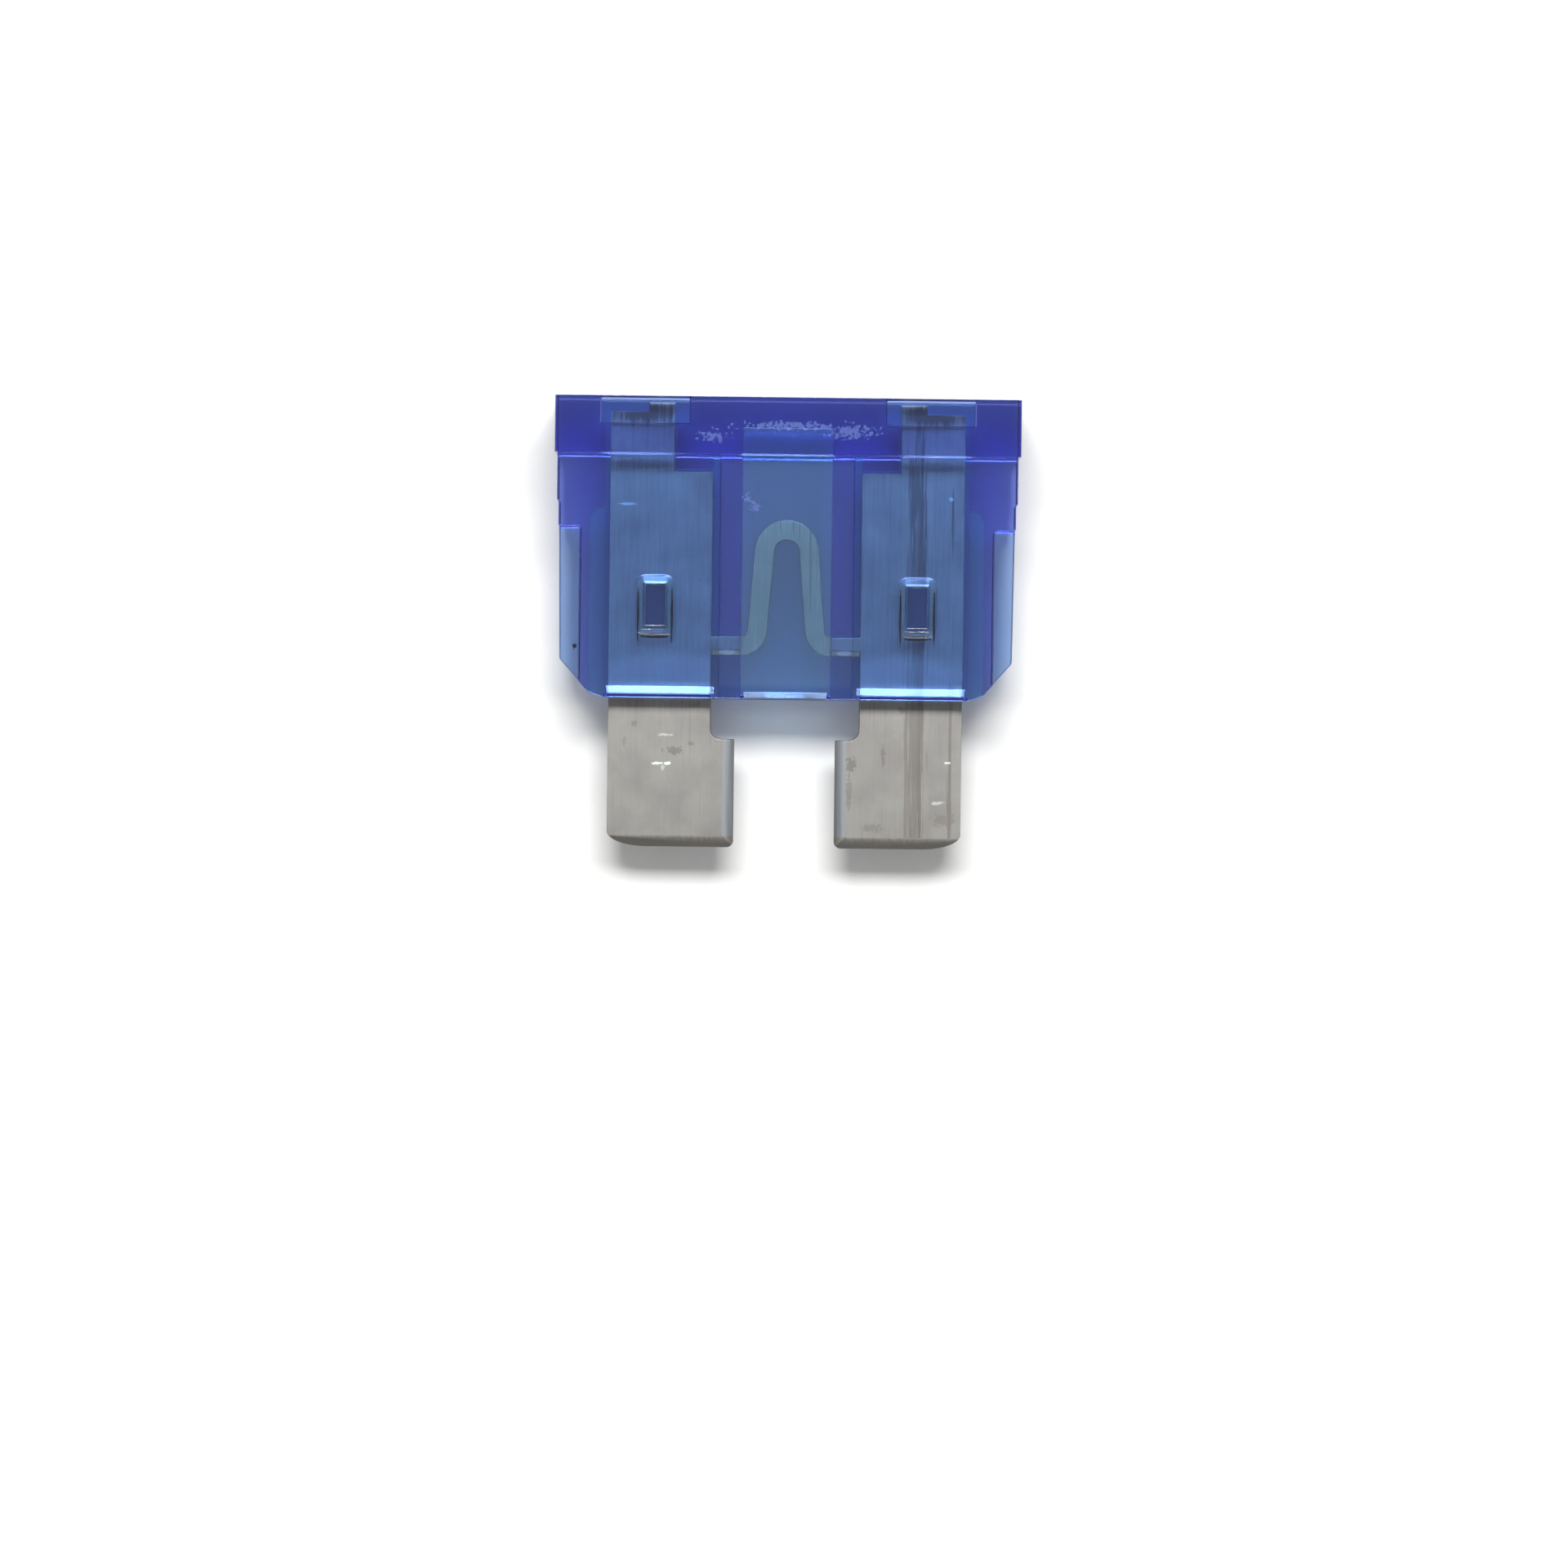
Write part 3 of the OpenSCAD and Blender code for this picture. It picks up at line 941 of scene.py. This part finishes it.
    def settle_normals(self, final: bpy.types.Mesh) -> None:
        """Shades flat faces flat and lets the rounded edges run smoothly into them.

        Args:
            final: The rounded mesh, with its rounded edges on the second material.
        """
        shape = bmesh.new()
        shape.from_mesh(final)
        areas: dict[int, float] = {}
        flat = math.radians(self.flat_deg)
        for start in shape.faces:
            if start.index in areas or start.material_index != FLAT:
                continue
            region = [start]
            areas[start.index] = 0.0
            for face in region:
                for edge in face.edges:
                    for other in edge.link_faces:
                        seen = other.index in areas or other.material_index != FLAT
                        if not seen and other.normal.angle(start.normal, 0.0) < flat:
                            areas[other.index] = 0.0
                            region.append(other)
            total = sum(face.calc_area() for face in region)
            areas.update({face.index: total for face in region})
        normals = [self.loop_normal(loop, areas) for face in shape.faces for loop in face.loops]
        shape.free()
        for face in final.polygons:
            face.use_smooth = True
            face.material_index = FLAT
        final.normals_split_custom_set(normals)

    def build(self) -> bpy.types.Object:
        """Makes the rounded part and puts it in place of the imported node.

        Returns:
            The finished object.
        """
        shape = self.merged_copy()
        weight = shape.edges.layers.float.new("bevel_weight_edge")
        widths = self.even_widths(shape)
        for edge in shape.edges:
            edge[weight] = widths.get(edge, 0.0)
            edge.smooth = edge in widths or edge.calc_face_angle(0.0) < math.radians(self.sharp_deg)
        rough_mesh = bpy.data.meshes.new(self.name + "_sharp")
        shape.to_mesh(rough_mesh)
        shape.free()
        rough_mesh.materials.append(None)
        rough_mesh.materials.append(None)
        rough = bpy.data.objects.new(self.name + "_sharp", rough_mesh)
        bpy.context.scene.collection.objects.link(rough)
        bevel = rough.modifiers.new("rounded_edges", "BEVEL")
        bevel.limit_method = "WEIGHT"
        bevel.width = self.edge_mm * MM
        bevel.segments = self.segments
        bevel.use_clamp_overlap = False
        bevel.miter_outer = "MITER_SHARP"
        bevel.material = ROUND
        depsgraph = bpy.context.evaluated_depsgraph_get()
        final = bpy.data.meshes.new_from_object(rough.evaluated_get(depsgraph))
        final.name = self.name
        bpy.data.objects.remove(rough)
        low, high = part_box(self.node)
        for vert in final.vertices:
            vert.co = [min(max(value, least), most) for value, least, most in zip(vert.co, low, high)]
        self.settle_normals(final)
        piece = bpy.data.objects.new(self.name, final)
        bpy.context.scene.collection.objects.link(piece)
        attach(piece, BODY)
        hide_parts(self.node)
        return piece


@dataclass
class Housing(RoundedPart):
    """The clear moulding: head, ports, shoulders, wings, ribs and chamber, staked to the element."""

    node: str = "housing"
    name: str = "clear_housing"
    slot: Slot = Slot.PLASTIC
    edge_mm: float = 0.11
    crisp_mm: tuple[float, float] = (8.15, 0.75)
    punched_mm: tuple[float, float, float, float] = (4.5, 6.3, -0.7, 2.1)
    fine_share: float = 0.42
    finish: ClearBluePolycarbonate = field(default_factory=ClearBluePolycarbonate)

    def make(self) -> bpy.types.Object:
        """Builds the housing and gives it its plastic.

        Returns:
            The finished object.
        """
        piece = self.build()
        piece.data.materials.clear()
        piece.data.materials.append(self.finish.material())
        return piece


@dataclass
class FuseElement(RoundedPart):
    """The stamping: two blades, their test tabs and the arched link between them."""

    node: str = "fuse_element"
    name: str = "stamped_element"
    slot: Slot = Slot.METAL
    edge_mm: float = 0.04
    blade_gap_mm: float = 4.14
    coin_mm: float = 0.46
    neck_l_mm: float = 1.65

    def make(self) -> bpy.types.Object:
        """Builds the element and gives it its metal.

        Returns:
            The finished object.
        """
        piece = self.build()
        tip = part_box(self.node)[0][1] / MM
        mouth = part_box("housing")[0][1] / MM
        finish = RolledZincStrip(
            blade_in_mm=self.blade_gap_mm / 2,
            tip_mm=tip,
            neck_mm=mouth - self.neck_l_mm,
            coin_mm=self.coin_mm,
        )
        piece.data.materials.clear()
        piece.data.materials.append(finish.material())
        return piece


@dataclass(frozen=True)
class Softbox:
    """One soft rectangular light, with its place and size in metres."""

    name: str
    place: tuple[float, float, float]
    size: tuple[float, float]
    watts: float

    def hang(self) -> bpy.types.Object:
        """Hangs the light so that it faces the fuse.

        Returns:
            The light.
        """
        lamp = bpy.data.lights.new(self.name, "AREA")
        lamp.shape = "RECTANGLE"
        lamp.size, lamp.size_y = self.size
        lamp.energy = self.watts
        light = bpy.data.objects.new(self.name, lamp)
        light.location = self.place
        light.rotation_euler = (-Vector(self.place)).to_track_quat("-Z", "Y").to_euler()
        bpy.context.scene.collection.objects.link(light)
        return light


@dataclass
class Studio:
    """The board, the soft lights and the camera."""

    board_m: float = 3.0
    # The board lies a hair under the fuse, so that the two faces don't fight.
    board_z_m: float = -0.00005
    sky: str = "ffffff"
    sky_strength: float = 0.42
    softboxes: tuple[Softbox, ...] = (
        Softbox("low_front_strip", (0.0, -0.45, 0.07), (0.24, 0.13), 0.12),
        Softbox("high_rear_box", (0.01, 0.18, 0.4), (0.24, 0.1), 1.9),
    )
    lens_mm: float = 150.0
    clip_start_m: float = 0.01
    # The view is this wide at the height given by focus_z_m.
    field_m: float = 0.06443
    focus_z_m: float = 0.003
    aim_m: tuple[float, float] = (0.0, -0.00657)
    roll_deg: float = 0.7

    def board(self) -> bpy.types.Object:
        """Lays the board under the fuse.

        Returns:
            The board.
        """
        mesh = bpy.data.meshes.new("board")
        half = self.board_m / 2
        low = self.board_z_m
        corners = [(-half, -half, low), (half, -half, low), (half, half, low), (-half, half, low)]
        mesh.from_pydata(corners, [], [(0, 1, 2, 3)])
        mesh.materials.append(PaleBoard().material())
        board = bpy.data.objects.new("board", mesh)
        bpy.context.scene.collection.objects.link(board)
        return board

    def sky_light(self) -> None:
        """Sets an even white surround."""
        world = bpy.data.worlds.new("soft_surround")
        bpy.context.scene.world = world
        world.use_nodes = True
        tree = world.node_tree
        tree.nodes.clear()
        glow = add_node(
            tree, "ShaderNodeBackground", {"Color": linear(self.sky), "Strength": self.sky_strength}
        )
        add_node(tree, "ShaderNodeOutputWorld", {"Surface": glow.outputs[0]})

    def camera(self) -> bpy.types.Object:
        """Puts the camera straight above the fuse.

        Returns:
            The camera.
        """
        data = bpy.data.cameras.new("camera")
        data.lens = self.lens_mm
        data.clip_start = self.clip_start_m
        reach = self.field_m * self.lens_mm / data.sensor_width
        camera = bpy.data.objects.new("camera", data)
        camera.location = (*self.aim_m, self.focus_z_m + reach)
        camera.rotation_euler = (0.0, 0.0, math.radians(self.roll_deg))
        bpy.context.scene.collection.objects.link(camera)
        bpy.context.scene.camera = camera
        return camera

    def build(self) -> None:
        """Sets the whole studio up."""
        scene = bpy.context.scene
        scene.view_settings.view_transform = "Standard"
        scene.view_settings.look = "None"
        self.board()
        self.sky_light()
        for softbox in self.softboxes:
            softbox.hang()
        self.camera()


def main() -> None:
    """Builds the studio and the fuse."""
    logging.basicConfig(level=logging.INFO)
    Studio().build()
    for piece in (FuseElement().make(), Housing().make()):
        LOG.info("%s: %d faces", piece.name, len(piece.data.polygons))


if __name__ == "__main__":
    main()
